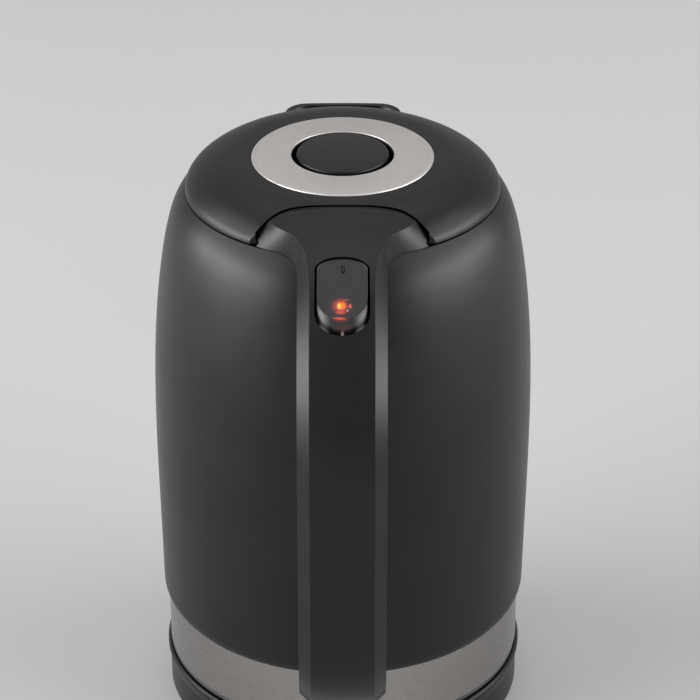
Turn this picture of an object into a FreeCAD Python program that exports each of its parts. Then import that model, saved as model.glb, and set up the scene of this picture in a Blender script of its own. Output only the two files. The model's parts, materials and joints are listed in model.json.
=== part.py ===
"""Cordless electric jug kettle on its round power base.

Millimetres. The origin is on the jug's upright axis, on the table. Z points up, the handle is towards -Y
and the pouring lip towards +Y. Every piece is its own closed solid in its own file.
"""
import FreeCAD
import Part
import math
import os

V = FreeCAD.Vector
os.makedirs("parts", exist_ok=True)

# Running and seating clearances
SEAT_GAP = 0.3          # between pieces of two bodies that only rest on each other
FIT_GAP = 0.05          # radial room of a pin in the hole that it turns in
SCREW_GAP = 0.2         # radial room of a screw in the hole that it passes through
SEAM_GAP = 0.5          # open seam between the lid and the body
ROOT_GAP = 1.1          # open seam between the lid and the handle
FAR = 400.0             # further than any piece reaches, for cutting blocks

# Self-tapping screws
SCREW_RADIUS = 1.4
BASE_SCREW_RADIUS = 1.5

# Jug body. The belly and the seam drive the sizes of everything round them
BELLY_RADIUS = 76.5     # widest place
BELLY_Z = 125.0
SEAM_Z = 230.5          # where the lid meets the body
SHELL_FOOT_Z = 48.3     # lower edge of the black shell
FOOT_ROUND = 4.5        # height of the rounded lower edge
FOOT_DROP = 1.4         # how far the wall draws in from the belly to the foot
SHOULDER_DROP = 10.3    # long curve of the shoulder
SHOULDER_POWER = 2.6
RIM_DROP = 3.9          # short curve at the rim
RIM_POWER = 18.0
SEAM_RADIUS = BELLY_RADIUS - SHOULDER_DROP - RIM_DROP
SHELL_WALL = 2.6
MOUTH_RADIUS = SEAM_RADIUS - 3.8        # inside of the rim's lip
LIP_HEIGHT = 4.0        # height of the rim's lip
LEDGE_Z = SHELL_FOOT_Z + 14.5           # ledge that carries the heater plate
LEDGE_HEIGHT = 3.0
LEDGE_RADIUS = BELLY_RADIUS - 12.5
BAND_RADIUS = BELLY_RADIUS - 3.3        # steel band
BAND_SHEET = 0.8
BAND_TOP_Z = SHELL_FOOT_Z - 0.2
SHELL_FOOT_RADIUS = BAND_RADIUS + 0.1

# Power base
BASE_RADIUS = BAND_RADIUS + 1.2         # outside of the rim
BASE_DRAW = 1.0         # how far the wall draws in below the rim
NEST_RADIUS = BAND_RADIUS - 3.2         # foot of the jug, which sits inside the rim
DISH_Z = 14.0           # floor that the jug stands on
BASE_RIM_Z = DISH_Z + 7.0
BASE_SKIN = 2.2         # wall of the mouldings
FOOT_HEIGHT = 2.0       # soft ring under the base
FOOT_OUTER = BASE_RADIUS - 7.5
FOOT_INNER = FOOT_OUTER - 12.0
POST_RADIUS = 13.0      # centre post of the cordless connector
POST_TOP_Z = DISH_Z + 11.0
CORD_RADIUS = 3.3       # flex that the outlet is made for
CORD_Z = FOOT_HEIGHT + 6.0

# Pouring lip
SPOUT_TOP_Z = SEAM_Z - 4.5
SPOUT_TIP_Y = BELLY_RADIUS + 11.7
SPOUT_TIP_HALF = 14.5   # half width of the straight front edge
SPOUT_HALF = 24.0       # half width behind the rounded corners
SPOUT_CORNER = 9.5      # depth of the rounded corners
SPOUT_ROOT_HALF = SPOUT_HALF + 4.5
SPOUT_LOW_Z = SEAM_Z - 62.5             # where the beak runs out into the body
SPOUT_WALL = 2.2
BEAK_HALF = 9.0         # half width of the beak where it runs out
BEAK_TIP_HALF = 3.0

# Lid
RING_OUTER = 35.9
RING_INNER = RING_OUTER - 15.7
RING_SHEET = 1.2
CROWN_RADIUS = RING_OUTER + 5.5         # where the round-over reaches the nearly flat crown
CROWN_Z = SEAM_Z + 12.8
RING_TOP_Z = CROWN_Z + 1.2              # inner edge of the slightly domed ring
RING_DROP = 0.7         # how far the dome of the ring falls towards its outer edge
DOME_POWER = 1.79       # fullness of the round-over
LID_WALL = 2.4
BUTTON_RADIUS = RING_INNER - 2.0
BUTTON_TOP_Z = RING_TOP_Z + 0.9
BUTTON_TRAVEL = 3.0
PAN_RADIUS = MOUTH_RADIUS - 2.0
PAN_FLOOR_Z = SEAM_Z - 11.5
PAN_WALL = 2.0
LATCH_HALF = 8.0

# Lid hinge
HINGE_Y = -(SEAM_RADIUS - 10.3)
HINGE_Z = SEAM_Z + 3.5
PIN_RADIUS = 1.5
LUG_INNER = 8.0         # the two hinge lugs of the lid, from the middle outwards
LUG_OUTER = 13.0
BOSS_RADIUS = 4.5
BARREL_Y = HINGE_Y + 7.4                # foremost place of the round seam between lid and handle
BARREL_Z = CROWN_Z - 0.3
PAN_CHORD_Y = HINGE_Y + 13.0            # straight back wall of the pan

# Handle
HANDLE_FACE_Y = -(BELLY_RADIUS + 51.5)  # outer face of the grip
HANDLE_TURN_Z = SEAM_Z - 58.5           # where the top bend ends in the upright grip
HANDLE_TOP_Z = CROWN_Z - 0.7            # highest line of the bend, above the hinge
GRIP_FACE = 12.2        # half width of the dark face
GRIP_SIDE = 16.8        # half width over the side bands
GRIP_DEPTH = 22.0
HANDLE_FOOT_Z = SHELL_FOOT_Z + 1.5      # underside of the lower arm
FOOT_BEND = 44.0        # outer radius of the lower bend
HANDLE_WALL = 2.6
SPLIT_DEPTH = 12.0      # how deep the outer moulding is at the grip

# Rocker switch
SWITCH_Y = HINGE_Y - 40.2               # middle of the rocker's face
SWITCH_LEAN = 23.0      # slope of the face at rest, in degrees
FACE_PROUD = 0.1        # how far the middle of the face stands above the bend
SWITCH_DEPTH = 6.0      # pivot below the face
ROCKER_HALF = 9.4
ROCKER_REACH = 16.6     # radius of the rocker's ends about its pivot
FAR_ROUND = 4.6         # how far the rounding of the end by the lid reaches back, and of the other end
NEAR_ROUND = 7.3
ROCKER_WALL = 1.6
WELL_GAP = 0.85         # room round the rocker
WELL_DEPTH = 4.0        # how far the well is cut below the pivot
WELL_HIGH = 8.0
SKIRT_DROP = 3.0        # how far the rocker's skirt hangs below its pivot


def line(*points):
    return [Part.makeLine(a, b) for a, b in zip(points, points[1:])]


def rz(radius, height):
    return V(radius, 0, height)


def yz(y, z, x=0.0):
    return V(x, y, z)


def spline(points):
    curve = Part.BSplineCurve()
    curve.interpolate(points)
    return curve.toShape()


def face_of(edges):
    return Part.Face(Part.Wire(Part.__sortEdges__(edges)))


def turned(edges):
    """A solid of revolution about the jug's axis from an outline of (radius, height)."""
    return Part.makeSolid(face_of(edges).revolve(V(0, 0, 0), V(0, 0, 1), 360))


def turned_points(*points):
    return turned(line(*[rz(r, z) for r, z in points], rz(*points[0])))


def rod(radius, z0, z1, x=0.0, y=0.0):
    return Part.makeCylinder(radius, z1 - z0, V(x, y, z0))


def ring(inner, outer, z0, z1):
    return rod(outer, z0, z1).cut(rod(inner, z0, z1))


def rod_x(radius, x0, x1, y, z):
    return Part.makeCylinder(radius, x1 - x0, V(x0, y, z), V(1, 0, 0))


def rod_y(radius, y0, y1, x, z):
    return Part.makeCylinder(radius, y1 - y0, V(x, y0, z), V(0, 1, 0))


def block(x0, x1, y0, y1, z0, z1):
    return Part.makeBox(x1 - x0, y1 - y0, z1 - z0, V(x0, y0, z0))


def plate_x(points, x0, x1):
    """A plate cut from a side-view outline of (y, z), between two widths."""
    outline = [yz(y, z, x0) for y, z in points]
    return face_of(line(*outline, outline[0])).extrude(V(x1 - x0, 0, 0))


def around(count, radius, start=0.0):
    """Points spread evenly on a circle."""
    angles = [math.radians(start + 360.0 * i / count) for i in range(count)]
    return [(radius * math.cos(a), radius * math.sin(a)) for a in angles]


def fused(first, *rest):
    return first.fuse(list(rest)).removeSplitter() if rest else first


def group(shapes):
    return Part.makeCompound(list(shapes))


def mirrored(shape):
    return shape.mirror(V(0, 0, 0), V(1, 0, 0))


def helix(radius, length, turns, wire):
    """Centre line of an open coil along Z. Prints the clear gap between its turns."""
    centre = Part.makeHelix(length / turns, length, radius).Edges[0]
    per_turn = 36
    points = centre.discretize(Number=int(per_turn * turns) + 1)
    nearest = min(a.distanceToPoint(b) for i, a in enumerate(points) for b in points[i + per_turn // 2:])
    print("least gap between turns", round(nearest - 2 * wire, 2))
    return centre


def wound(path, wire):
    """Round wire drawn along a path of joined edges."""
    start = path[0].valueAt(path[0].FirstParameter)
    along = path[0].tangentAt(path[0].FirstParameter)
    section = Part.Wire(Part.makeCircle(wire, start, along))
    return Part.makeSolid(Part.Wire(path).makePipeShell([section], True, True))


def screw(x, y, head_z, tip_z, head_radius, shank_radius, head_height):
    """A pan-head screw driven upwards: the head's seat is at head_z."""
    head = rod(head_radius, head_z - head_height, head_z, x, y)
    return fused(head, rod(shank_radius, head_z, tip_z, x, y))


def save(name, shape):
    shape.exportStep("parts/" + name + ".step")
    print(name, len(shape.Solids), round(shape.Volume, 1), shape.isValid())


# Shared outlines

def shell_radius(z):
    """Outside of the black shell at a height."""
    if z < BELLY_Z:
        return BELLY_RADIUS - FOOT_DROP * ((BELLY_Z - z) / (BELLY_Z - SHELL_FOOT_Z)) ** 1.2
    u = (z - BELLY_Z) / (SEAM_Z - BELLY_Z)
    return BELLY_RADIUS - SHOULDER_DROP * u ** SHOULDER_POWER - RIM_DROP * u ** RIM_POWER


def shell_heights(low, high):
    """Heights at which the shell's curve is set out, closer together at the shoulder."""
    shares = (0.0, 0.2, 0.4, 0.58, 0.72, 0.83, 0.91, 0.965, 1.0)
    return [low + (high - low) * s for s in shares]


RIM_TOP_Z = SEAM_Z - SEAM_GAP / 2
LID_EDGE_Z = SEAM_Z + SEAM_GAP / 2


def shell_outside():
    """Filled outside form of the shell, from its foot to its rim."""
    start = SHELL_FOOT_Z + FOOT_ROUND
    outer = spline([rz(shell_radius(z), z) for z in shell_heights(start, RIM_TOP_Z)])
    foot = Part.Arc(rz(SHELL_FOOT_RADIUS, SHELL_FOOT_Z),
                    rz(shell_radius(start) - 0.45, SHELL_FOOT_Z + 0.45 * FOOT_ROUND),
                    rz(shell_radius(start), start)).toShape()
    rim = rz(shell_radius(RIM_TOP_Z), RIM_TOP_Z)
    axis = line(rim, rz(0, RIM_TOP_Z), rz(0, SHELL_FOOT_Z), rz(SHELL_FOOT_RADIUS, SHELL_FOOT_Z))
    return turned([foot, outer] + axis)


LIP_Z = RIM_TOP_Z - LIP_HEIGHT
CHAMBER_TOP_Z = LIP_Z - 5.0


def shell_inside():
    """Filled inside form: foot opening, ledge, water chamber and mouth."""
    wall = spline([rz(shell_radius(z) - SHELL_WALL, z) for z in shell_heights(LEDGE_Z, CHAMBER_TOP_Z)])
    top_r = shell_radius(CHAMBER_TOP_Z) - SHELL_WALL
    low_r = shell_radius(LEDGE_Z) - SHELL_WALL
    foot_r = SHELL_FOOT_RADIUS - SHELL_WALL
    below = SHELL_FOOT_Z - 1.0
    above = RIM_TOP_Z + 1.0
    neck = line(rz(top_r, CHAMBER_TOP_Z), rz(MOUTH_RADIUS, LIP_Z), rz(MOUTH_RADIUS, above), rz(0, above),
                rz(0, below), rz(foot_r, below), rz(foot_r, LEDGE_Z - LEDGE_HEIGHT),
                rz(LEDGE_RADIUS, LEDGE_Z - LEDGE_HEIGHT), rz(LEDGE_RADIUS, LEDGE_Z), rz(low_r, LEDGE_Z))
    return turned([wall] + neck)


def spout_outline(z, tip_y, half, tip_half, corner, front_bow, root_half, root_y):
    """Plan outline of the beak at a height: straight sides, rounded corners, nearly straight front edge."""
    side_y = tip_y - corner
    bow = 0.29
    right = [V(root_half, root_y, z), V(half, side_y, z)]
    mid = V(tip_half + (half - tip_half) * (1 - bow), side_y + corner * (1 - bow), z)
    tip = V(tip_half, tip_y, z)
    flip = [V(-p.x, p.y, p.z) for p in (right[0], right[1], mid, tip)]
    edges = [Part.makeLine(right[0], right[1]), Part.Arc(right[1], mid, tip).toShape(),
             Part.Arc(tip, V(0, tip_y + front_bow, z), flip[3]).toShape(),
             Part.Arc(flip[3], flip[2], flip[1]).toShape(),
             Part.makeLine(flip[1], flip[0]), Part.makeLine(flip[0], right[0])]
    return Part.Wire(edges)


def spout_form(inset, top_z):
    """The beak as a loft, drawn in all round by the inset."""
    high = spout_outline(top_z, SPOUT_TIP_Y - inset, SPOUT_HALF - inset, SPOUT_TIP_HALF - 0.6 * inset,
                         SPOUT_CORNER, 0.3, SPOUT_ROOT_HALF - inset, MOUTH_RADIUS - 8.0)
    low_tip = shell_radius(SPOUT_LOW_Z) - 2.0
    low = spout_outline(SPOUT_LOW_Z, low_tip - inset, BEAK_HALF - inset, BEAK_TIP_HALF - 0.6 * inset,
                        0.7 * SPOUT_CORNER, 0.4, BEAK_HALF + 3.0 - inset, MOUTH_RADIUS - 8.0)
    return Part.makeLoft([low, high], True, True)


def dome_edge(outer_r, low_z, crown_r, crown_z):
    """The round-over of the lid: a quarter of a superellipse from the rim up to the crown."""
    points = []
    steps = 8
    for i in range(steps + 1):
        t = math.pi / 2 * i / steps
        share = 2.0 / DOME_POWER
        points.append(rz(crown_r + (outer_r - crown_r) * max(math.cos(t), 0.0) ** share,
                         low_z + (crown_z - low_z) * math.sin(t) ** share))
    return spline(points)


def barrel(extra):
    """The round seam between lid and handle: a spindle about the hinge's axis, so the lid swings clear."""
    top = math.hypot(BARREL_Y - HINGE_Y, BARREL_Z - HINGE_Z)
    shape = ((0.0, 1.0), (16.4, 0.953), (23.0, 0.807), (27.3, 0.575), (30.5, 0.309), (33.0, 0.06))
    half = [V(x, HINGE_Y + top * share + extra, HINGE_Z) for x, share in shape]
    points = [V(-p.x, p.y, p.z) for p in reversed(half[1:])] + half
    end = points[-1]
    start = points[0]
    base = [V(start.x, HINGE_Y, HINGE_Z), V(end.x, HINGE_Y, HINGE_Z)]
    edges = [spline(points)] + line(end, base[1], base[0], start)
    return Part.makeSolid(face_of(edges).revolve(V(0, HINGE_Y, HINGE_Z), V(1, 0, 0), 360))


# Power base

POST_GAP = 0.2
SCREW_PLACES = around(4, FOOT_INNER - 6.0, 45.0)
PLATE_TOP_Z = FOOT_HEIGHT + 2.5
BASE_INSIDE = BASE_RADIUS - BASE_DRAW - BASE_SKIN


def base_housing():
    inner = NEST_RADIUS + 0.8
    wall = BASE_RADIUS - BASE_DRAW
    under = DISH_Z - BASE_SKIN
    hole = POST_RADIUS + POST_GAP
    body = turned_points((hole, DISH_Z), (inner, DISH_Z), (inner, BASE_RIM_Z - 0.8),
                         (inner + 0.8, BASE_RIM_Z), (BASE_RADIUS - 0.7, BASE_RIM_Z),
                         (BASE_RADIUS, BASE_RIM_Z - 0.7), (BASE_RADIUS, BASE_RIM_Z - 2.2),
                         (wall, BASE_RIM_Z - 6.0), (wall, FOOT_HEIGHT + 1.0), (wall - 1.0, FOOT_HEIGHT),
                         (BASE_INSIDE, FOOT_HEIGHT), (BASE_INSIDE, under), (hole, under))
    bosses = [rod(4.0, PLATE_TOP_Z, under + 0.5, x, y) for x, y in SCREW_PLACES]
    body = fused(body, *bosses)
    for x, y in SCREW_PLACES:
        body = body.cut(rod(BASE_SCREW_RADIUS + FIT_GAP, PLATE_TOP_Z, under - 0.3, x, y))
    return body.cut(rod_y(gland_radius(), BASE_INSIDE - 3.0, BASE_RADIUS + 5.0, 0, CORD_Z))


def gland_radius():
    return CORD_RADIUS + 1.2


def base_bottom_plate():
    plate = rod(BASE_INSIDE - 0.2, FOOT_HEIGHT, PLATE_TOP_Z)
    for x, y in SCREW_PLACES:
        plate = plate.cut(rod(BASE_SCREW_RADIUS + SCREW_GAP, FOOT_HEIGHT, PLATE_TOP_Z, x, y))
        plate = plate.cut(rod(3.4, FOOT_HEIGHT, FOOT_HEIGHT + 1.3, x, y))
    return plate


def base_screws():
    seat = FOOT_HEIGHT + 1.3
    tip = DISH_Z - BASE_SKIN - 1.0
    return group(screw(x, y, seat, tip, 3.1, BASE_SCREW_RADIUS, 1.2) for x, y in SCREW_PLACES)


SLOT_INNER = 7.0
SLOT_OUTER = 9.6
SLOT_FLOOR_Z = POST_TOP_Z - 9.0
PIN_HOLE = 3.0
PIN_FLOOR_Z = POST_TOP_Z - 12.0


def base_connector():
    post = turned_points((0, PLATE_TOP_Z), (POST_RADIUS + 6.0, PLATE_TOP_Z),
                         (POST_RADIUS + 6.0, DISH_Z - BASE_SKIN), (POST_RADIUS, DISH_Z - BASE_SKIN),
                         (POST_RADIUS, POST_TOP_Z - 1.5), (POST_RADIUS - 1.5, POST_TOP_Z), (0, POST_TOP_Z))
    post = post.cut(ring(SLOT_INNER, SLOT_OUTER, SLOT_FLOOR_Z, POST_TOP_Z + 1))
    return post.cut(rod(PIN_HOLE, PIN_FLOOR_Z, POST_TOP_Z + 1))


def base_contacts():
    return group([ring(SLOT_INNER, SLOT_OUTER, SLOT_FLOOR_Z, SLOT_FLOOR_Z + 1.2),
                  rod(PIN_HOLE, PIN_FLOOR_Z, PIN_FLOOR_Z + 1.2)])


def base_cord_gland():
    start = BASE_INSIDE + 0.2
    end = start + 6.0
    sleeve = rod_y(gland_radius(), start, end, 0, CORD_Z)
    collar = rod_y(gland_radius() + 1.2, end - 1.2, end, 0, CORD_Z)
    return fused(sleeve, collar).cut(rod_y(CORD_RADIUS, start, end, 0, CORD_Z))


# Cordless connector under the jug

SOCKET_RADIUS = POST_RADIUS + 6.5
SOCKET_TOP_Z = POST_TOP_Z + 4.4
SOCKET_LOW_Z = DISH_Z + BASE_SKIN + 1.0
SOCKET_CEILING_Z = POST_TOP_Z + 1.0


def jug_connector():
    body = rod(SOCKET_RADIUS, SOCKET_LOW_Z, SOCKET_TOP_Z)
    return body.cut(rod(POST_RADIUS + 1.0, SOCKET_LOW_Z, SOCKET_CEILING_Z))


def jug_contacts():
    tube = ring(SLOT_INNER + 0.6, SLOT_OUTER - 0.6, SLOT_FLOOR_Z + 1.9, SOCKET_CEILING_Z)
    pin = rod(PIN_HOLE - 1.0, PIN_FLOOR_Z + 1.9, SOCKET_CEILING_Z)
    return group([tube, pin])


# Lower works of the jug

COVER_LOW_Z = DISH_Z + SEAT_GAP + 0.1
COVER_RADIUS = BAND_RADIUS - BAND_SHEET
BOTTOM_PLACES = around(3, NEST_RADIUS - 5.0, 90.0)
STEP_Z = BASE_RIM_Z + 0.9                # underside of the flange that carries the band
PLATE_Z = LEDGE_Z + 2.0
PLATE_SHEET = 1.2
PLATE_RADIUS = LEDGE_RADIUS + 6.4
SPREADER_RADIUS = LEDGE_RADIUS - 6.0
SPREADER_Z = PLATE_Z - 3.5
ELEMENT_RADIUS = SPREADER_RADIUS - 12.0
ELEMENT_TUBE = 4.0
CONTROL_RADIUS = SOCKET_RADIUS + 8.0
DISC_SHEET = 0.8
CONTROL_TOP_Z = SPREADER_Z - DISC_SHEET
CONTROL_PLACES = around(3, CONTROL_RADIUS - 4.0, 90.0)
WIRE_Z = SHELL_FOOT_Z + 6.0
WIRE_RADIUS = 1.1
WIRE_PLACES = (-7.6, -5.2, 5.2)
WIRE_TOP_BEND = 36.0    # radius of the leads' turn towards the switch
WIRE_TOP_ANGLE = 101.4
SLOT_HALF = 10.0        # opening in the shell that the leads pass through
SLOT_RISE = 2.4


def steel_band():
    low = STEP_Z + 1.0
    return turned_points((COVER_RADIUS, low), (BAND_RADIUS - 0.4, low), (BAND_RADIUS, low + 0.8),
                         (BAND_RADIUS, BAND_TOP_Z), (COVER_RADIUS, BAND_TOP_Z))


def bottom_cover():
    floor_z = COVER_LOW_Z + BASE_SKIN
    inner = COVER_RADIUS - BASE_SKIN
    nest = NEST_RADIUS - BASE_SKIN
    flange = BAND_RADIUS - 0.3
    hole = SOCKET_RADIUS + 0.8
    cup = turned_points((hole, COVER_LOW_Z), (NEST_RADIUS - 1.5, COVER_LOW_Z),
                        (NEST_RADIUS, COVER_LOW_Z + 1.2), (NEST_RADIUS, STEP_Z), (flange, STEP_Z),
                        (flange, STEP_Z + 1.0), (COVER_RADIUS, STEP_Z + 1.0), (COVER_RADIUS, BAND_TOP_Z),
                        (inner, BAND_TOP_Z), (inner, STEP_Z + 4.0), (nest, STEP_Z + 2.0), (nest, floor_z),
                        (hole, floor_z))
    cup = fused(cup, *[rod(3.8, floor_z - 0.5, BAND_TOP_Z, x, y) for x, y in BOTTOM_PLACES])
    for x, y in BOTTOM_PLACES:
        cup = cup.cut(rod(SCREW_RADIUS + SCREW_GAP, COVER_LOW_Z, BAND_TOP_Z, x, y))
        cup = cup.cut(rod(2.9, COVER_LOW_Z, BAND_TOP_Z - 5.0, x, y))
    return cup


def bottom_screws():
    seat = BAND_TOP_Z - 5.0
    return group(screw(x, y, seat, seat + 13.0, 2.6, SCREW_RADIUS, 1.4) for x, y in BOTTOM_PLACES)


def heater_plate():
    return rod(PLATE_RADIUS, PLATE_Z, PLATE_Z + PLATE_SHEET)


def plate_seal():
    wall = shell_radius(LEDGE_Z) - SHELL_WALL - 0.1
    return turned_points((LEDGE_RADIUS + 1.0, LEDGE_Z), (wall, LEDGE_Z), (wall, PLATE_Z + PLATE_SHEET + 0.6),
                         (PLATE_RADIUS, PLATE_Z + PLATE_SHEET + 0.6), (PLATE_RADIUS, PLATE_Z),
                         (LEDGE_RADIUS + 1.0, PLATE_Z))


def heat_spreader():
    plate = rod(SPREADER_RADIUS, SPREADER_Z, PLATE_Z)
    for x, y in CONTROL_PLACES:
        plate = plate.cut(rod(SCREW_RADIUS + FIT_GAP, SPREADER_Z, PLATE_Z - 0.8, x, y))
    return plate


def heating_element():
    """A horseshoe of sheathed tube under the spreader, with its two cold ends turned down."""
    centre_z = SPREADER_Z - ELEMENT_TUBE
    path = Part.makeCircle(ELEMENT_RADIUS, V(0, 0, centre_z), V(0, 0, 1), -60, 240)
    start = path.valueAt(path.FirstParameter)
    tangent = path.tangentAt(path.FirstParameter)
    section = Part.Wire(Part.makeCircle(ELEMENT_TUBE, start, tangent))
    ring_tube = Part.makeSolid(Part.Wire(path).makePipeShell([section], True, False))
    ends = []
    for angle in (-60, 240):
        x = ELEMENT_RADIUS * math.cos(math.radians(angle))
        y = ELEMENT_RADIUS * math.sin(math.radians(angle))
        ends.append(rod(ELEMENT_TUBE, centre_z - 14.0, centre_z, x, y))
        ends.append(Part.makeSphere(ELEMENT_TUBE, V(x, y, centre_z)))
    return fused(ring_tube, *ends)


def dry_boil_control():
    body = turned_points((0, SOCKET_TOP_Z + 0.3), (SOCKET_RADIUS - 1.0, SOCKET_TOP_Z + 0.3),
                         (SOCKET_RADIUS - 1.0, SOCKET_TOP_Z + 3.0), (CONTROL_RADIUS, SOCKET_TOP_Z + 5.0),
                         (CONTROL_RADIUS, CONTROL_TOP_Z), (0, CONTROL_TOP_Z))
    for x, y in CONTROL_PLACES:
        body = body.cut(rod(SCREW_RADIUS + SCREW_GAP, SOCKET_TOP_Z, CONTROL_TOP_Z, x, y))
        body = body.cut(rod(3.2, SOCKET_TOP_Z, SOCKET_TOP_Z + 12.0, x, y))
    return body


def bimetal_discs():
    return group(rod(8.5, CONTROL_TOP_Z, SPREADER_Z, x, -3.0) for x in (-11.0, 11.0))


def control_screws():
    seat = SOCKET_TOP_Z + 12.0
    return group(screw(x, y, seat, PLATE_Z - 1.2, 2.8, SCREW_RADIUS, 1.6) for x, y in CONTROL_PLACES)


# Body shell with the pouring lip

RIB_HALF = SPOUT_HALF - 3.6              # inside faces of the two ribs that hold the filter
RIB_THICK = 2.0
FILTER_Y = MOUTH_RADIUS - 1.3
FILTER_THICK = 2.0
FILTER_LOW_Z = SEAM_Z - 46.5
FILTER_HIGH_Z = PAN_FLOOR_Z - 2.0
STEAM_Z = SEAM_Z - 7.5
STEAM_RADIUS = 3.5


def body_shell():
    """Turned wall with its ledge and mouth, opened to the spout's channel, with ribs and bosses inside."""
    outside = shell_outside()
    channel = spout_form(SPOUT_WALL, SPOUT_TOP_Z)
    shell = outside.cut(shell_inside()).cut(channel)
    rib = block(RIB_HALF, RIB_HALF + RIB_THICK, FILTER_Y - 1.5, FILTER_Y + 14.8,
                FILTER_LOW_Z - 2.0, LIP_Z - 1.0).common(outside.cut(channel))
    bosses = [rod(3.2, SHELL_FOOT_Z, LEDGE_Z - 1.0, x, y) for x, y in BOTTOM_PLACES]
    shell = fused(shell, rib, mirrored(rib), *bosses)
    for x, y in BOTTOM_PLACES:
        shell = shell.cut(rod(SCREW_RADIUS + FIT_GAP, SHELL_FOOT_Z, LEDGE_Z - 4.0, x, y))
    shell = shell.cut(block(-SLOT_HALF, SLOT_HALF, -BELLY_RADIUS - 2.0, -LEDGE_RADIUS,
                            WIRE_Z - SLOT_RISE, WIRE_Z + SLOT_RISE))
    return shell.cut(rod_y(STEAM_RADIUS, -SEAM_RADIUS - 8.0, -MOUTH_RADIUS + 4.0, 0, STEAM_Z))


def spout():
    """The beak outside the shell's wall, open at the top and towards the shell."""
    return spout_form(0.0, SPOUT_TOP_Z).cut(shell_outside()).cut(spout_form(SPOUT_WALL, SPOUT_TOP_Z))


def spout_filter_frame():
    half = RIB_HALF - 0.2
    y1 = FILTER_Y + FILTER_THICK
    frame = block(-half, half, FILTER_Y, y1, FILTER_LOW_Z, FILTER_HIGH_Z)
    border = 3.0
    window = block(-half + border, half - border, FILTER_Y, y1, FILTER_LOW_Z + border, FILTER_HIGH_Z - border)
    bar = block(-0.8, 0.8, FILTER_Y, y1, FILTER_LOW_Z, FILTER_HIGH_Z)
    foot = block(-half, half, FILTER_Y, y1 + 6.0, FILTER_LOW_Z - 2.0, FILTER_LOW_Z)
    return fused(frame.cut(window), bar, foot)


def spout_filter_mesh():
    """Fine mesh in the frame's two windows, set in its thickness."""
    half = RIB_HALF - 0.2
    border = 3.0
    y0 = FILTER_Y + 0.8
    low = FILTER_LOW_Z + border
    high = FILTER_HIGH_Z - border
    pane = block(0.8, half - border, y0, y0 + 0.4, low, high)
    return group([pane, mirrored(pane)])


# Handle

def bend_point(y):
    """A place on the top bend, with the outward direction there, in side view."""
    half_y = HINGE_Y - HANDLE_FACE_Y
    half_z = HANDLE_TOP_Z - HANDLE_TURN_Z
    u = min(max((HINGE_Y - y) / half_y, 0.0), 1.0)
    rise = math.sqrt(1.0 - u * u)
    normal = V(0, -u / half_y, rise / half_z).normalize()
    return V(0, y, HANDLE_TURN_Z + half_z * rise), normal


ROOT_STATIONS = (       # distance ahead of the hinge, face, crown, side, band depth
    (16.0, 29.0, 3.2, 38.0, 12.2),
    (6.0, 28.2, 3.3, 36.0, 12.2),
)
BEND_STATIONS = (       # distance behind the hinge, face, crown, side, band depth, thickness
    (0.0, 26.0, 3.3, 33.2, 12.3, 24.0),
    (5.0, 22.6, 3.0, 27.4, 12.8, 25.0),
    (9.0, 19.2, 2.7, 21.2, 13.0, 27.0),
    (13.5, 16.6, 2.2, 17.6, 12.5, 30.0),
    (20.0, 14.3, 1.6, 16.9, 10.0, 33.0),
    (30.0, 12.7, 1.0, 16.8, 7.2, 32.5),
    (42.0, 12.2, 0.8, 16.8, 5.8, 31.0),
    (54.0, 12.2, 0.7, 16.8, 5.2, 28.5),
    (64.0, 12.2, 0.7, 16.8, 5.2, 25.5),
    (71.5, 12.2, 0.7, 16.8, 5.2, 23.0),
)
GRIP_CROWN = 0.7
GRIP_BAND = 5.2
LOFT_END = 12.0         # straight stretch that the bend's loft takes in
LOWER_BEND_Z = HANDLE_FOOT_Z + FOOT_BEND


def grip_station(place, out):
    return place, out, GRIP_FACE, GRIP_CROWN, GRIP_SIDE, GRIP_BAND, GRIP_DEPTH


def top_stations():
    """Stations from the root over the bend to the grip: place, outward direction and section sizes."""
    stations = []
    for ahead, face, crown, side, band in ROOT_STATIONS:
        place = V(0, HINGE_Y + ahead, HANDLE_TOP_Z + ahead / 15.0)
        stations.append((place, V(0, 0, 1), face, crown, side, band, BEND_STATIONS[0][5]))
    for back, face, crown, side, band, deep in BEND_STATIONS:
        stations.append(bend_point(HINGE_Y - back) + (face, crown, side, band, deep))
    for z in (HANDLE_TURN_Z, HANDLE_TURN_Z - LOFT_END):
        stations.append(grip_station(V(0, HANDLE_FACE_Y, z), V(0, -1, 0)))
    return stations


def handle_section(station, inset):
    """One cross-section: crowned face, side bands, sides and a rounded finger side."""
    place, out, face, crown, side, band, deep = station
    floor = deep - inset
    face_half = face - 0.6 * inset
    side_half = side - inset

    def at(x, below):
        return place + V(x, 0, 0) - out * below

    right = [at(face_half, crown + inset), at(side_half, band + 0.6 * inset),
             at(side_half - 0.6, max(floor - 5.0, band + 1.0)), at(side_half - 5.0, floor)]
    left = [V(-p.x, p.y, p.z) for p in right]
    edges = [Part.Arc(left[0], at(0, inset), right[0]).toShape()]
    return Part.Wire(edges + line(*right, *reversed(left)))


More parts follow.
